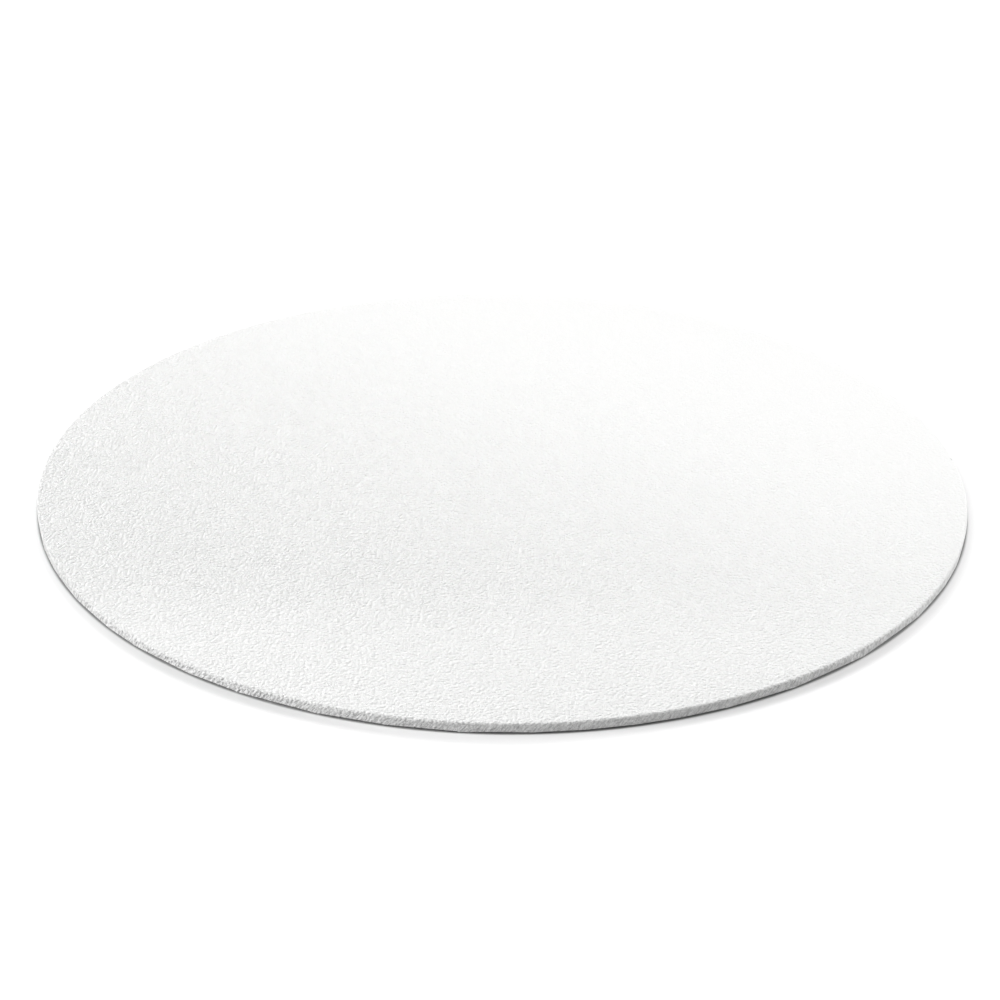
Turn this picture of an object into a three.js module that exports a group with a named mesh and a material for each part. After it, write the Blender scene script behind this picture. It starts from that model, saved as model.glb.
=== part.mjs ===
// Round cake board, wrapped in fine embossed white paper.
// The wrap is one sheet drawn over the board and folded under its rim. It gathers in
// pleats below, and a plain lining disc is glued over its turned-in edge. The pleats pile
// up inwards, so the board stands on the lining and its rim is a little clear of the table.
// Millimetres, +Z up. The origin is the centre of the underside, on the surface it stands on.
import * as THREE from "three";

// Driving dimensions
const boardDiameter = 300;
const boardThickness = 3.5; // from the table to the flat top
const rimClearance = 0.5; // from the table up to the fold under the rim
const topEdgeRadius = 0.55; // the soft fold of the wrap round the upper edge
const lowEdgeRadius = 0.3; // the tight fold round the lower edge
const liningInset = 6; // from the rim in to the edge of the lining disc
const liningThickness = 0.2;
const pleatDepth = 0.15; // how far a pleat stands below the turn-in at the lining's edge
const pleatLongSide = 4.5; // along the rim, from the flat turn-in to the pleat's crest
const pleatShortSide = 1.2; // along the rim, from the crest down its folded edge
const drawnInShare = 0.4; // of a straight run's sagitta, how much the fold draws in between pleats
const hangingShare = 0.45; // of the same, how much lower the fold hangs at the pleats

// Places of the pleats, in degrees counted from +X
const frontPleats = [239.5, 250, 257.5, 265.4, 274, 279.4, 285, 290.3, 295.5, 304.4, 315.4, 327.5];
const pleatPitch = 7.2; // between two pleats, on the rest of the rim
const pleatWander = 1.4; // the most that such a pleat strays from its even place
const wanderTurns = 2.4; // radians by which the stray's phase moves on from pleat to pleat

// Fineness of the faces
const widestStep = 3; // degrees of the rim between two columns of points
const foldSteps = 4; // faces across each fold

const fullTurn = 360;
const radius = boardDiameter / 2;
const turnInLevel = liningThickness + pleatDepth;
const sideHeight = boardThickness - rimClearance;
const topFold = Math.min(topEdgeRadius, sideHeight / 3);
const lowFold = Math.min(lowEdgeRadius, sideHeight / 3);
const mostHanging = (2 * rimClearance) / 3;

const alongRim = (length) => THREE.MathUtils.radToDeg(length / radius);
const onCircle = (angle) => THREE.MathUtils.euclideanModulo(angle, fullTurn);

// The pleats out of sight go on from the last front one to the first, at an even pitch
// from which each strays a little.
function pleatAngles() {
  const last = frontPleats[frontPleats.length - 1];
  const gap = frontPleats[0] + fullTurn - last;
  const steps = Math.round(gap / pleatPitch);
  const others = [];
  for (let i = 1; i < steps; i += 1) {
    const even = last + (gap * i) / steps;
    others.push(onCircle(even + pleatWander * Math.sin(wanderTurns * i)));
  }
  return [...frontPleats, ...others];
}

// How far a pleat stands below the turn-in at an angle: 1 on its crest, 0 on the flat.
function pleatRise(angle, pleats) {
  const rises = pleats.map((pleat) => {
    const past = onCircle(angle - pleat + fullTurn / 2) - fullTurn / 2;
    const side = past < 0 ? pleatLongSide : pleatShortSide;
    return 1 - Math.abs(past) / alongRim(side);
  });
  return Math.max(0, ...rises);
}

// Between two pleats the fold under the rim runs nearly straight. It does so by drawing in
// from the round rim between them, with the side leaning, and by hanging lower at them.
function straightRun(angle, pleats) {
  const sinceLast = Math.min(...pleats.map((pleat) => onCircle(angle - pleat)));
  const toNext = Math.min(...pleats.map((pleat) => onCircle(pleat - angle)));
  const halfSpan = THREE.MathUtils.degToRad((sinceLast + toNext) / 2);
  const offMiddle = THREE.MathUtils.degToRad((sinceLast - toNext) / 2);
  const sagitta = radius * (1 - Math.cos(halfSpan));
  const inFromRim = radius * (1 - Math.cos(halfSpan) / Math.cos(offMiddle));
  const hanging = hangingShare * (sagitta - inFromRim);
  return { drawnIn: drawnInShare * inFromRim, hanging: Math.min(hanging, mostHanging) };
}

// Columns of points stand at every foot and crest of a pleat and at the four quarter
// points, with even steps between them.
function columnAngles(pleats) {
  const places = [0, 90, 180, 270];
  for (const pleat of pleats) {
    places.push(pleat - alongRim(pleatLongSide), pleat, pleat + alongRim(pleatShortSide));
  }
  const sorted = places.map(onCircle).sort((a, b) => a - b);
  const columns = [];
  sorted.forEach((place, i) => {
    const next = i + 1 < sorted.length ? sorted[i + 1] : sorted[0] + fullTurn;
    const steps = Math.ceil((next - place) / widestStep);
    for (let k = 0; k < steps; k += 1) columns.push(place + ((next - place) * k) / steps);
  });
  return columns;
}

// A quarter round from one edge of a fold to the other, as points [radius, height].
function fold(centreRadius, centreHeight, size, startAngle) {
  const points = [];
  for (let i = 0; i <= foldSteps; i += 1) {
    const turn = startAngle - (Math.PI / 2) * (i / foldSteps);
    points.push([centreRadius + size * Math.cos(turn), centreHeight + size * Math.sin(turn)]);
  }
  return points;
}

// The section from the edge of the flat top round the rim to the edge of the lining.
function section(rise, run) {
  const liningRadius = radius - liningInset;
  return [
    ...fold(radius - topFold, boardThickness - topFold, topFold, Math.PI / 2),
    ...fold(radius - run.drawnIn - lowFold, rimClearance - run.hanging + lowFold, lowFold, 0),
    [liningRadius, turnInLevel - pleatDepth * rise],
    [liningRadius, 0],
  ];
}

// One closed skin: the middle of the top, the rings of the section, the middle of the underside.
function boardGeometry() {
  const pleats = pleatAngles();
  const columns = columnAngles(pleats);
  const sections = columns.map((angle) => section(pleatRise(angle, pleats), straightRun(angle, pleats)));
  const rings = sections[0].length;
  const points = [0, 0, boardThickness];
  columns.forEach((angle, c) => {
    const turn = THREE.MathUtils.degToRad(angle);
    for (const [r, z] of sections[c]) points.push(r * Math.cos(turn), r * Math.sin(turn), z);
  });
  points.push(0, 0, 0);

  const topMiddle = 0;
  const lowMiddle = columns.length * rings + 1;
  const at = (c, ring) => 1 + (c % columns.length) * rings + ring;
  const faces = [];
  for (let c = 0; c < columns.length; c += 1) {
    faces.push(topMiddle, at(c, 0), at(c + 1, 0));
    for (let ring = 0; ring + 1 < rings; ring += 1) {
      faces.push(at(c, ring), at(c, ring + 1), at(c + 1, ring + 1));
      faces.push(at(c, ring), at(c + 1, ring + 1), at(c + 1, ring));
    }
    faces.push(lowMiddle, at(c + 1, rings - 1), at(c, rings - 1));
  }

  const geometry = new THREE.BufferGeometry();
  geometry.setAttribute("position", new THREE.Float32BufferAttribute(points, 3));
  geometry.setIndex(faces);
  geometry.computeVertexNormals();
  return geometry;
}

const wrapPaper = new THREE.MeshStandardMaterial({ color: 0xf3f3f2, roughness: 0.55, metalness: 0 });

const board = new THREE.Mesh(boardGeometry(), wrapPaper);
board.name = "cake_board";

const part = new THREE.Group();
part.add(board);

export default part;
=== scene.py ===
import math
import bpy
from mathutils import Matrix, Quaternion, Vector


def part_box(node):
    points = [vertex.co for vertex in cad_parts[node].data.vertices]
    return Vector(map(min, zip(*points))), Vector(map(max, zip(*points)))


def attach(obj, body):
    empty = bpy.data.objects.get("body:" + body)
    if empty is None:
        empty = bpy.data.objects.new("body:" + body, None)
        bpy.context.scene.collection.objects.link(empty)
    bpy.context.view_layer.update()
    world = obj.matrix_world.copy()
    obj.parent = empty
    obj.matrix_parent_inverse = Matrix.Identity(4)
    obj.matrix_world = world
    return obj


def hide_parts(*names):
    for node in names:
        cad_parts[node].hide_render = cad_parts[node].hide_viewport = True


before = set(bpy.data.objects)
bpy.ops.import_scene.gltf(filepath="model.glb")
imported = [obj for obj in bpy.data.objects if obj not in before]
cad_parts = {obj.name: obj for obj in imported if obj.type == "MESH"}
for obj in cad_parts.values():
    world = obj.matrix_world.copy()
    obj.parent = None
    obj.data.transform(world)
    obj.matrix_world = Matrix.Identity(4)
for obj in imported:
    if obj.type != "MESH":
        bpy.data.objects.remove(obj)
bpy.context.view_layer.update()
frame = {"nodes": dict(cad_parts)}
print("frame loaded:", ", ".join(frame["nodes"]))

mm = 0.001
fullTurn = 360  # degrees
boardName = "cake_board"
lowCorner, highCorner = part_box(boardName)
rimRadius = highCorner.x
boardTop = highCorner.z


# Helpers for modelling
def clearSelection():
    if bpy.context.object and bpy.context.object.mode != "OBJECT":
        bpy.ops.object.mode_set(mode="OBJECT")
    bpy.ops.object.select_all(action="DESELECT")


def growTo(here, radius, height):
    # Extrudes the selected face and takes it to the next ring; here is the ring it is on.
    bpy.ops.mesh.extrude_region_move(TRANSFORM_OT_translate={"value": (0, 0, height - here[1])})
    share = radius / here[0]
    bpy.ops.transform.resize(value=(share, share, 1), center_override=(0, 0, height))
    return radius, height


def quarterRound(centreRadius, centreHeight, size, start, steps):
    # Points of a fold, from the angle start upwards through a right angle.
    turns = [start + math.pi / 2 * i / steps for i in range(steps + 1)]
    return [(centreRadius + size * math.cos(t), centreHeight + size * math.sin(t)) for t in turns]


def between(a, b, steps):
    # The points after a, up to b, in even steps.
    return [(a[0] + (b[0] - a[0]) * i / steps, a[1] + (b[1] - a[1]) * i / steps)
            for i in range(1, steps + 1)]


# The wrapped board
board = {
    "columns": 1800,                    # points round the rim
    "rimClearance": 0.5 * mm,           # from the table up to the fold under the rim
    "topFold": 0.55 * mm,               # soft fold of the wrap round the upper edge
    "lowFold": 0.3 * mm,                # tight fold round the lower edge
    "liningInset": 6 * mm,              # from the rim in to the edge of the lining disc
    "liningThickness": 0.2 * mm,
    "pleatDepth": 0.15 * mm,            # how far a pleat stands below the turn-in
    "pleatLongSide": 4.5 * mm,          # along the rim, up to the pleat's crest
    "pleatShortSide": 1.2 * mm,         # along the rim, down its folded edge
    "lapPlace": 265.4,                  # degrees, where the lapped paper shows as a step
    "lapDrop": 0.22 * mm,               # how much lower the fold starts past it
    "lapLength": 12 * mm,               # along the rim, until that is gone
    "drawnInShare": 0.4,                # of a straight run's sagitta, how much the fold draws in
    "hangingShare": 0.45,               # of the same, how much lower it hangs at the pleats
    "mostHanging": 2 / 3,               # the share of the clearance that it hangs at most
    "frontPleats": (239.5, 250, 257.5, 265.4, 274, 279.4,
                    285, 290.3, 295.5, 304.4, 315.4, 327.5),  # degrees
    "pleatPitch": 7.2,                  # degrees between two pleats on the rest of the rim
    "pleatWander": 1.4,                 # degrees that such a pleat strays at most
    "wanderTurns": 2.4,                 # how the stray's phase moves on from pleat to pleat
    "lowFoldSteps": 6,                  # faces across the lower fold
    "topFoldSteps": 8,
    "flatSteps": 6,                     # across the turn-in, and up the side
    "topRings": (145, 130, 100, 60, 20),  # mm, where the flat top is divided
    "margin": 0.1 * mm,                 # keeps the lining and the table side out of the folding
    "smoothAngle": 35,
}


def pleatPlaces():
    front = board["frontPleats"]
    gap = front[0] + fullTurn - front[-1]
    steps = round(gap / board["pleatPitch"])
    pleats = list(front)
    for i in range(1, steps):
        stray = board["pleatWander"] * math.sin(board["wanderTurns"] * i)
        pleats.append((front[-1] + gap * i / steps + stray) % fullTurn)
    return pleats


def straightRun(angle, pleats):
    # Between two pleats the fold under the rim runs nearly straight: it draws in from the
    # round rim between them, and hangs lower at them.
    sinceLast = min((angle - pleat) % fullTurn for pleat in pleats)
    toNext = min((pleat - angle) % fullTurn for pleat in pleats)
    half = math.radians((sinceLast + toNext) / 2)
    off = math.radians((sinceLast - toNext) / 2)
    sagitta = rimRadius * (1 - math.cos(half))
    inFromRim = rimRadius * (1 - math.cos(half) / math.cos(off))
    hanging = min(board["hangingShare"] * (sagitta - inFromRim),
                  board["rimClearance"] * board["mostHanging"])
    return board["drawnInShare"] * inFromRim, hanging


def pleatRise(angle, pleats):
    # 1 on the crest of a pleat, 0 on the flat turn-in.
    rise = 0
    for pleat in pleats:
        past = math.radians((angle - pleat + fullTurn / 2) % fullTurn - fullTurn / 2) * rimRadius
        side = board["pleatShortSide"] if past > 0 else board["pleatLongSide"]
        rise = max(rise, 1 - abs(past) / side)
    return rise


def boardSection():
    # From the edge of the lining round the rim to the flat top, as (radius, height).
    liningRadius = rimRadius - board["liningInset"]
    turnIn = board["liningThickness"] + board["pleatDepth"]
    top, low = board["topFold"], board["lowFold"]
    lowRound = quarterRound(rimRadius - low, board["rimClearance"] + low, low, -math.pi / 2,
                            board["lowFoldSteps"])
    topRound = quarterRound(rimRadius - top, boardTop - top, top, 0, board["topFoldSteps"])
    section = [(liningRadius, turnIn)]
    section += between(section[0], lowRound[0], board["flatSteps"])
    section += lowRound[1:]
    section += between(lowRound[-1], topRound[0], board["flatSteps"])
    section += topRound[1:]
    section += [(ring * mm, boardTop) for ring in board["topRings"]]
    return section


def foldRim(piece):
    # Draws the lower fold straight between pleats and lets the pleats stand below the turn-in.
    pleats = pleatPlaces()
    liningRadius = rimRadius - board["liningInset"]
    foldRadius = rimRadius - board["lowFold"]
    sideTop = boardTop - board["topFold"]
    sideLow = board["rimClearance"] + board["lowFold"]
    margin = board["margin"]
    for vertex in piece.data.vertices:
        reach = math.hypot(vertex.co.x, vertex.co.y)
        if reach < liningRadius - margin or vertex.co.z > sideTop or vertex.co.z < margin:
            continue
        angle = math.degrees(math.atan2(vertex.co.y, vertex.co.x)) % fullTurn
        outward = min(1, max(0, (reach - liningRadius) / (foldRadius - liningRadius)))
        downward = min(1, max(0, (sideTop - vertex.co.z) / (sideTop - sideLow)))
        drawnIn, hanging = straightRun(angle, pleats)
        atFold = min(outward, downward)
        share = 1 - drawnIn * atFold / reach
        pastLap = math.radians((angle - board["lapPlace"]) % fullTurn) * rimRadius
        lapped = board["lapDrop"] * max(0, 1 - pastLap / board["lapLength"])
        pleated = board["pleatDepth"] * pleatRise(angle, pleats) * (1 - outward)
        drop = pleated + (hanging + lapped) * atFold
        vertex.co = (vertex.co.x * share, vertex.co.y * share, vertex.co.z - drop)


def makeBoard():
    clearSelection()
    liningRadius = rimRadius - board["liningInset"]
    bpy.ops.mesh.primitive_circle_add(vertices=board["columns"], radius=liningRadius,
                                      fill_type="NGON", location=(0, 0, 0))
    piece = bpy.context.object
    piece.name = "wrapped_board"
    bpy.ops.object.mode_set(mode="EDIT")
    bpy.ops.mesh.select_all(action="SELECT")
    here = (liningRadius, 0)
    for radius, height in boardSection():
        here = growTo(here, radius, height)
    bpy.ops.mesh.select_all(action="SELECT")
    bpy.ops.mesh.normals_make_consistent(inside=False)
    bpy.ops.object.mode_set(mode="OBJECT")
    foldRim(piece)
    bpy.ops.object.shade_smooth_by_angle(angle=math.radians(board["smoothAngle"]))
    return piece


wrappedBoard = makeBoard()
print("board modelled:", len(wrappedBoard.data.polygons), "faces")


# Helper for shaders
class Wire:
    # One socket of a node tree. Sums written with it add Math nodes.
    def __init__(self, tree, socket=None):
        self.tree = tree
        self.socket = socket

    def node(self, kind, settings=None, sockets=None, output=0):
        # Adds any node: its settings first, then the values or links of its sockets.
        made = self.tree.nodes.new(kind)
        for name, value in (settings or {}).items():
            setattr(made, name, value)
        for name, value in (sockets or {}).items():
            if isinstance(value, Wire):
                self.tree.links.new(value.socket, made.inputs[name])
            else:
                made.inputs[name].default_value = value
        return Wire(self.tree, made.outputs[output]) if made.outputs else None

    def maths(self, operation, *values):
        return self.node("ShaderNodeMath", {"operation": operation}, dict(enumerate(values)))

    def __add__(self, other):
        return self.maths("ADD", self, other)

    def __radd__(self, other):
        return self.maths("ADD", other, self)

    def __sub__(self, other):
        return self.maths("SUBTRACT", self, other)

    def __rsub__(self, other):
        return self.maths("SUBTRACT", other, self)

    def __mul__(self, other):
        return self.maths("MULTIPLY", self, other)

    def __rmul__(self, other):
        return self.maths("MULTIPLY", other, self)

    def __truediv__(self, other):
        return self.maths("DIVIDE", self, other)

    def ramp(self, low, high, toLow=0.0, toHigh=1.0):
        # Goes smoothly from toLow to toHigh as the value goes from low to high.
        return self.node("ShaderNodeMapRange", {"interpolation_type": "SMOOTHSTEP"},
                         {"Value": self, "From Min": low, "From Max": high,
                          "To Min": toLow, "To Max": toHigh})

    def size(self):
        return self.maths("ABSOLUTE", self)

    def root(self):
        return self.maths("SQRT", self)

    def axis(self, name):
        # One of X, Y and Z of a vector.
        return self.node("ShaderNodeSeparateXYZ", {}, {"Vector": self}, name)

    def blend(self, colourA, colourB):
        # Mixes two colours, with this wire as the share of the second. A Mix node has a set of
        # sockets for each type: 6 and 7 are its two colours, and 2 is the colour that comes out.
        return self.node("ShaderNodeMix", {"data_type": "RGBA"}, {0: self, 6: colourA, 7: colourB}, 2)


def newMaterial(name):
    material = bpy.data.materials.new(name)
    material.use_nodes = True
    material.node_tree.nodes.clear()
    return material, Wire(material.node_tree)


# The embossed wrap. The emboss is made to fade over the board as the photo's grain does.
wrap = {
    "paper": (0.9, 0.9, 0.895, 1),
    "roughness": 0.65,
    "gloss": 0.1,
    "pebblePitch": 1.05 * mm,           # between two pebbles of the emboss
    "pebbleSoftness": 0.5,
    "pebbleShare": 0.8,                 # how much of the emboss is pebbles
    "crumpleShare": 0.6,                # and how much is the crumple among them
    "crumpleDetail": 3.0,
    "embossDepth": 1.15 * mm,
    "fadedDepth": 0.1,                  # the share of that depth at the far right
    "fadeLean": 0.7,                    # how much the fade runs to the right, against back
    "fadeSpan": (-150 * mm, 170 * mm),  # from where to where it runs
    "frontDepth": 0.7,                  # the share of the depth by the front rim
    "frontSpan": (-110 * mm, -60 * mm),  # in Y, from that share to the whole
    "leastReach": 1 * mm,               # keeps the middle of the sheet from a division by 0
    "ridgePitch": 0.55 * mm,            # across the slanted ridges on the side
    "ridgeLength": 3 * mm,
    "ridgeSlant": 52,                   # degrees that they lean from the level
    "ridgeDepth": 0.55,                 # against the pebbles of the top
    "ridgeMean": 0.5,                   # their middle level, which stays where the side is
    "ridgeSpan": (0.2 * mm, 0.7 * mm),  # below the top, from no ridges to whole ones
    "grooveSpan": (0.6, 0.35),          # levels of the ridges, from no painted shade to the most
    "paintedRidgeShade": 0.22,                 # painted shade, how much darker the paper's colour is made between the ridges
    "lapWidth": 0.3 * mm,               # of the edge where the paper laps, raised in the bump and given a painted highlight
    "lapStep": 0.55,                    # how high that edge stands, against the pebbles
    # the painted highlight's colour along the lapped edge
    "lapPaintedHighlight": (0.98, 0.98, 0.975, 1),
    "speckCore": 0.4,                   # the share of a speck that has its whole grey
    "specks": (                         # place, size and grey of what lies on the paper
        (36.4 * mm, -128.6 * mm, 0.35 * mm, 0.4),
        (36.2 * mm, -127.3 * mm, 0.2 * mm, 0.7),
        (102.1 * mm, -65.2 * mm, 0.5 * mm, 0.76),
    ),
    "tickPlace": 7.0,                   # degrees, of the short dark mark on the rim's edge
    "tickLength": 2 * mm,
    "tickInset": 0.5 * mm,
    "tickWidth": 0.25 * mm,
    "tickGrey": 0.6,
}


def makeWrap():
    material, tree = newMaterial("embossed_wrap")
    place = tree.node("ShaderNodeTexCoord", output="Object")
    x, y, z = place.axis("X"), place.axis("Y"), place.axis("Z")
    reach = (x * x + y * y).root()

    # The sheet laid out flat: past the rim it goes on outwards as the side goes down.
    spread = 1 + (boardTop - z) / reach.maths("MAXIMUM", reach, wrap["leastReach"])
    sheet = tree.node("ShaderNodeVectorMath", {"operation": "SCALE"},
                      {"Vector": place, "Scale": spread})
    flat = tree.node("ShaderNodeVectorMath", {"operation": "MULTIPLY"}, {0: sheet, 1: (1, 1, 0)})

    pebbles = tree.node("ShaderNodeTexVoronoi", {"feature": "SMOOTH_F1", "voronoi_dimensions": "2D"},
                        {"Vector": flat, "Scale": 1 / wrap["pebblePitch"],
                         "Smoothness": wrap["pebbleSoftness"]}, "Distance")
    crumple = tree.node("ShaderNodeTexNoise", {"noise_dimensions": "2D"},
                        {"Vector": flat, "Scale": 1 / wrap["pebblePitch"],
                         "Detail": wrap["crumpleDetail"]}, "Fac")
    emboss = wrap["crumpleShare"] * crumple - wrap["pebbleShare"] * pebbles
    pressed = (wrap["fadeLean"] * x + y).ramp(*wrap["fadeSpan"], 1, wrap["fadedDepth"]) \
        * y.ramp(*wrap["frontSpan"], wrap["frontDepth"], 1)

    # On the side the drawn paper shows slanted ridges, laid out along the rim and up it.
    along = rimRadius * y.maths("ARCTAN2", y, x)
    slant = math.radians(wrap["ridgeSlant"])
    across = (math.sin(slant) * along - math.cos(slant) * z) / wrap["ridgePitch"]
    length = (math.cos(slant) * along + math.sin(slant) * z) / wrap["ridgeLength"]
    ridgePlace = tree.node("ShaderNodeCombineXYZ", {}, {"X": across, "Y": length})
    ridges = tree.node("ShaderNodeTexNoise", {"noise_dimensions": "2D"},
                       {"Vector": ridgePlace, "Scale": 1.0, "Detail": 1.0}, "Fac")
    onSide = (boardTop - z).ramp(*wrap["ridgeSpan"])

    # Right of the lap the paper steps up, and comes down again over the lap's length.
    pastLap = along - rimRadius * math.radians(board["lapPlace"] - fullTurn)
    lapped = pastLap.ramp(-wrap["lapWidth"], wrap["lapWidth"], 0, wrap["lapStep"]) \
        * pastLap.ramp(wrap["lapWidth"], board["lapLength"], 1, 0)
    relief = pressed * emboss \
        + onSide * (wrap["ridgeDepth"] * (ridges - wrap["ridgeMean"]) + lapped)
    bump = tree.node("ShaderNodeBump", {},
                     {"Height": relief, "Distance": wrap["embossDepth"], "Strength": 1.0})

    # Painted shade: the colour darkens where the ridges dip, standing in for the shade in their hollows.
    hollowShadeMask = onSide * ridges.ramp(*wrap["grooveSpan"], 0, wrap["paintedRidgeShade"])
    colour = hollowShadeMask.blend(wrap["paper"], (0, 0, 0, 1))
    # Painted highlight: the colour is whitened along the lapped edge, where its raised side would catch
    # the light.
    lap = onSide * pastLap.size().ramp(0, wrap["lapWidth"], 1, 0)
    colour = lap.blend(colour, wrap["lapPaintedHighlight"])
    for placeX, placeY, size, grey in wrap["specks"]:
        offX, offY = x - placeX, y - placeY
        speck = (offX * offX + offY * offY).root().ramp(wrap["speckCore"] * size, size, 1, 0)
        colour = speck.blend(colour, (grey, grey, grey, 1))
    offEdge = reach - (rimRadius - wrap["tickInset"])
    offTick = along - rimRadius * math.radians(wrap["tickPlace"])
    tick = (offEdge * offEdge).ramp(0, wrap["tickWidth"] ** 2, 1, 0) \
        * (offTick * offTick).ramp(0, (wrap["tickLength"] / 2) ** 2, 1, 0)
    colour = tick.blend(colour, (wrap["tickGrey"],) * 3 + (1,))

    shader = tree.node("ShaderNodeBsdfPrincipled", {},
                       {"Base Color": colour, "Roughness": wrap["roughness"], "Normal": bump,
                        "Specular IOR Level": wrap["gloss"]})
    tree.node("ShaderNodeOutputMaterial", {}, {"Surface": shader})
    return material


lining = {
    "paper": (0.88, 0.88, 0.86, 1),
    "roughness": 0.7,
    "fibrePitch": 0.5 * mm,
    "fibreDetail": 3.0,
    "fibreDepth": 0.01 * mm,
}


def makeLining():
    material, tree = newMaterial("lining_paper")
    place = tree.node("ShaderNodeTexCoord", output="Object")
    fibres = tree.node("ShaderNodeTexNoise", {},
                       {"Vector": place, "Scale": 1 / lining["fibrePitch"],
                        "Detail": lining["fibreDetail"]}, "Fac")
    bump = tree.node("ShaderNodeBump", {},
                     {"Height": fibres, "Distance": lining["fibreDepth"], "Strength": 1.0})
    shader = tree.node("ShaderNodeBsdfPrincipled", {},
                       {"Base Color": lining["paper"], "Roughness": lining["roughness"], "Normal": bump})
    tree.node("ShaderNodeOutputMaterial", {}, {"Surface": shader})
    return material


def dressBoard(piece):
    piece.data.materials.clear()
    piece.data.materials.append(makeWrap())
    piece.data.materials.append(makeLining())
    liningRadius = rimRadius - board["liningInset"]
    for face in piece.data.polygons:
        middle = face.center
        isLining = middle.z < board["liningThickness"] and middle.xy.length <= liningRadius
        face.material_index = 1 if isLining else 0


dressBoard(wrappedBoard)
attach(wrappedBoard, "root")
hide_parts(boardName)
print("board dressed")


# Floor, world and lamps
stage = {
    "floorSize": 12.0,
    "floorGap": 0.02 * mm,              # how far the floor lies below the lining
    "floorSeen": 0.94,                  # its whiteness to the camera
    "floorBounce": 0.6,                 # its whiteness to the light that it throws back
    "underRimPaintedShadow": 0.35,                   # its whiteness in the gap under the rim, lowered there as painted shadow
    "byRimPaintedShadow": 0.62,                      # and just outside it, also lowered as painted shadow
    "byRimSpan": (-0.2 * mm, 0.3 * mm),  # past the rim, from the first to the second
    "paintedShadowFade": (0.3 * mm, 8 * mm),    # and from there to its own whiteness, as the painted shadow fades out
    "worldFill": 0.24,
    "worldSeen": 1.0,
}

# Light that only the camera sees added to the floor, fitted to the photo. Near the rim it is
# painted light that lifts the board's shadow, by other amounts at the sides than before and
# behind; farther out it makes the floor evenly white. Each glow grows over a span past the rim.
# It adds one strength before and behind the board and another at its sides; besides is the span
# between the two, as the share of a place's reach that is sideways.
floorGlowsWithPaintedLight = (
    {"grows": (0, 0.8 * mm), "fades": (1.2 * mm, 6.5 * mm),
     "besides": (0.15, 0.5), "adds": (0.35, 0.21)},
    {"grows": (0, 0.8 * mm), "besides": (0.6, 1), "adds": (0, 0.13)},
    {"grows": (1.5 * mm, 6.5 * mm), "besides": (0, 0.5), "adds": (0.1, 0.24)},
    {"grows": (8 * mm, 40 * mm), "besides": (0, 1), "adds": (0.35, 0.35)},
    {"grows": (40 * mm, 500 * mm), "besides": (0, 1), "adds": (1.2, 1.2)},
)


def seenByCamera(tree):
    # 1 where the camera sees it, straight or by way of a mirror or glass, and 0 for other light.
    rays = [tree.node("ShaderNodeLightPath", output="Is " + kind + " Ray")
            for kind in ("Camera", "Glossy", "Transmission")]
    return tree.maths("MINIMUM", rays[0] + rays[1] + rays[2], 1.0)


def makeFloor():
    clearSelection()
    bpy.ops.mesh.primitive_plane_add(size=stage["floorSize"],
                                     location=(0, 0, lowCorner.z - stage["floorGap"]))
    floor = bpy.context.object
    floor.name = "floor"
    material, tree = newMaterial("floor_white_painted_shadow_and_light")
    seen = seenByCamera(tree)
    place = tree.node("ShaderNodeTexCoord", output="Object")
    reach = tree.node("ShaderNodeVectorMath", {"operation": "LENGTH"}, {0: place}, "Value")
    pastRim = reach - rimRadius
    beside = place.axis("X").size() / reach

    # Painted shadow: to the camera the floor is made darker under the rim and near it.
    white = pastRim.ramp(*stage["byRimSpan"], stage["underRimPaintedShadow"], stage["byRimPaintedShadow"]) \
        + pastRim.ramp(*stage["paintedShadowFade"], 0, stage["floorSeen"] - stage["byRimPaintedShadow"])
    grey = tree.node("ShaderNodeCombineColor", {},
                     {"Red": white, "Green": white, "Blue": white}, "Color")
    colour = seen.blend((stage["floorBounce"],) * 3 + (1,), grey)
    matt = tree.node("ShaderNodeBsdfDiffuse", {}, {"Color": colour}, "BSDF")

    strength = 0
    # The first three glows are painted light in the board's shadow; the last two whiten the floor
    # farther out.
    for glow in floorGlowsWithPaintedLight:
        added = pastRim.ramp(*glow["grows"]) * beside.ramp(*glow["besides"], *glow["adds"])
        if "fades" in glow:
            added = added * pastRim.ramp(*glow["fades"], 1, 0)
        strength = added + strength
    light = tree.node("ShaderNodeEmission", {}, {"Strength": seen * strength}, "Emission")
    both = tree.node("ShaderNodeAddShader", {}, {0: matt, 1: light})
    tree.node("ShaderNodeOutputMaterial", {}, {"Surface": both})
    floor.data.materials.append(material)


def makeWorld():
    world = bpy.data.worlds.new("studio")
    world.use_nodes = True
    world.node_tree.nodes.clear()
    tree = Wire(world.node_tree)
    strength = seenByCamera(tree).ramp(0, 1, stage["worldFill"], stage["worldSeen"])
    light = tree.node("ShaderNodeBackground", {}, {"Color": (1, 1, 1, 1), "Strength": strength})
    tree.node("ShaderNodeOutputWorld", {}, {"Surface": light})
    bpy.context.scene.world = world


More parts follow.
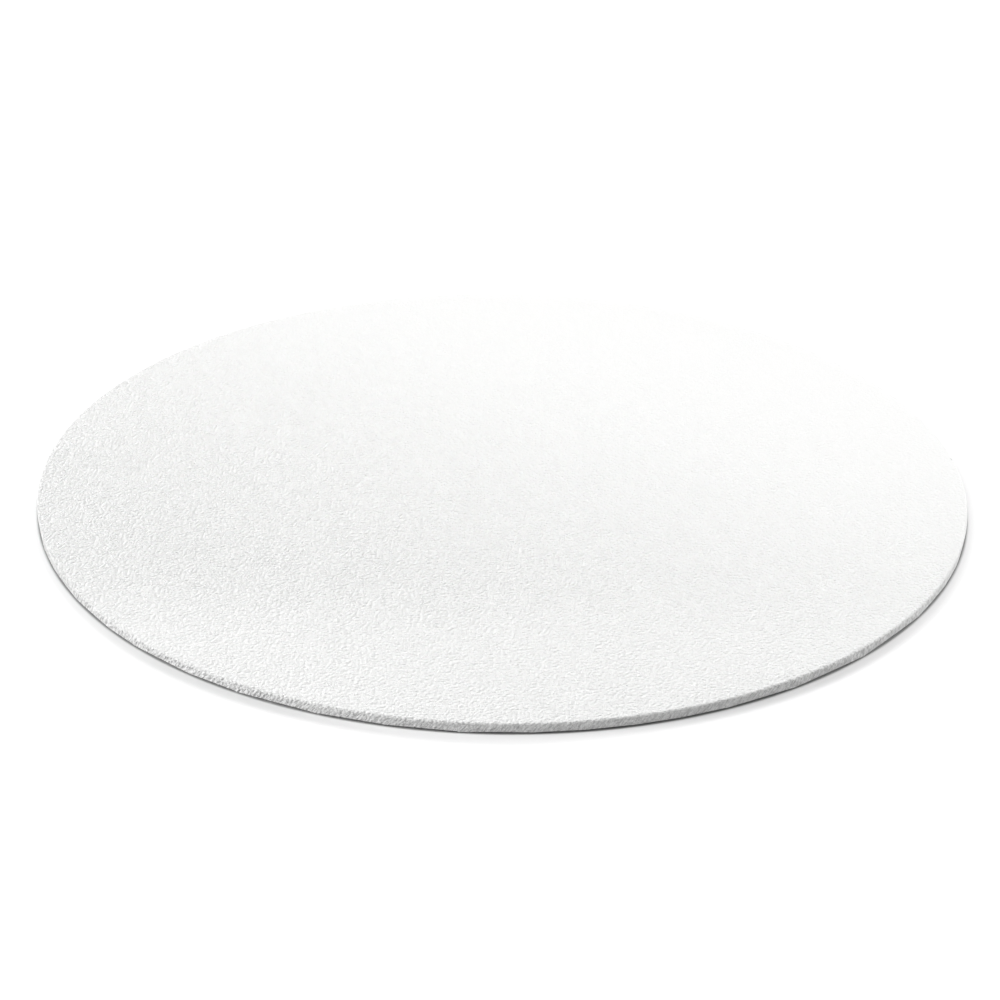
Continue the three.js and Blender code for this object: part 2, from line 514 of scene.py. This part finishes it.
lamps = {
    "left": {"azimuth": 186, "elevation": 21, "distance": 1.4, "size": 0.8, "onTable": 0.272},
    "right": {"azimuth": 25, "elevation": 20, "distance": 1.4, "size": 0.8, "onTable": 0.265},
    "back": {"azimuth": 92, "elevation": 34, "distance": 3.0, "size": 1.4, "onTable": 0.155},
    "front": {"azimuth": 275, "elevation": 20, "distance": 1.0, "size": 0.6, "onTable": 0.038},
    "top": {"azimuth": 230, "elevation": 65, "distance": 0.8, "size": 0.5, "onTable": 0.2},
}


def makeLamp(name, lamp):
    # onTable is the light on the level table: 1 shows a white sheet as white.
    azimuth, elevation = math.radians(lamp["azimuth"]), math.radians(lamp["elevation"])
    towards = Vector((math.cos(elevation) * math.cos(azimuth),
                      math.cos(elevation) * math.sin(azimuth), math.sin(elevation)))
    clearSelection()
    bpy.ops.object.light_add(type="AREA", location=towards * lamp["distance"],
                             rotation=towards.to_track_quat("Z", "Y").to_euler())
    made = bpy.context.object
    made.name = name + "_lamp"
    made.data.shape = "DISK"
    made.data.size = lamp["size"]
    made.data.energy = lamp["onTable"] * math.pi ** 2 * lamp["distance"] ** 2 / math.sin(elevation)
    made.visible_camera = False


makeFloor()
makeWorld()
for name, lamp in lamps.items():
    makeLamp(name, lamp)
print("stage and lamps set")


# Camera at the photo's viewing angle
camera = {
    "distance": 978.1 * mm,             # from the middle of the underside
    "elevation": 27.43,                 # degrees, as is the roll
    "roll": 0.672,
    "lens": 108,
    "shift": (-0.00256, -0.01115),      # of the picture, as shares of its width
}


def makeCamera():
    elevation = math.radians(camera["elevation"])
    towards = Vector((0, -math.cos(elevation), math.sin(elevation)))
    turn = towards.to_track_quat("Z", "Y") @ Quaternion((0, 0, 1), math.radians(camera["roll"]))
    clearSelection()
    bpy.ops.object.camera_add(location=towards * camera["distance"], rotation=turn.to_euler())
    made = bpy.context.object
    made.data.lens = camera["lens"]
    made.data.shift_x, made.data.shift_y = camera["shift"]
    bpy.context.scene.camera = made


makeCamera()
bpy.context.scene.view_settings.view_transform = "Standard"
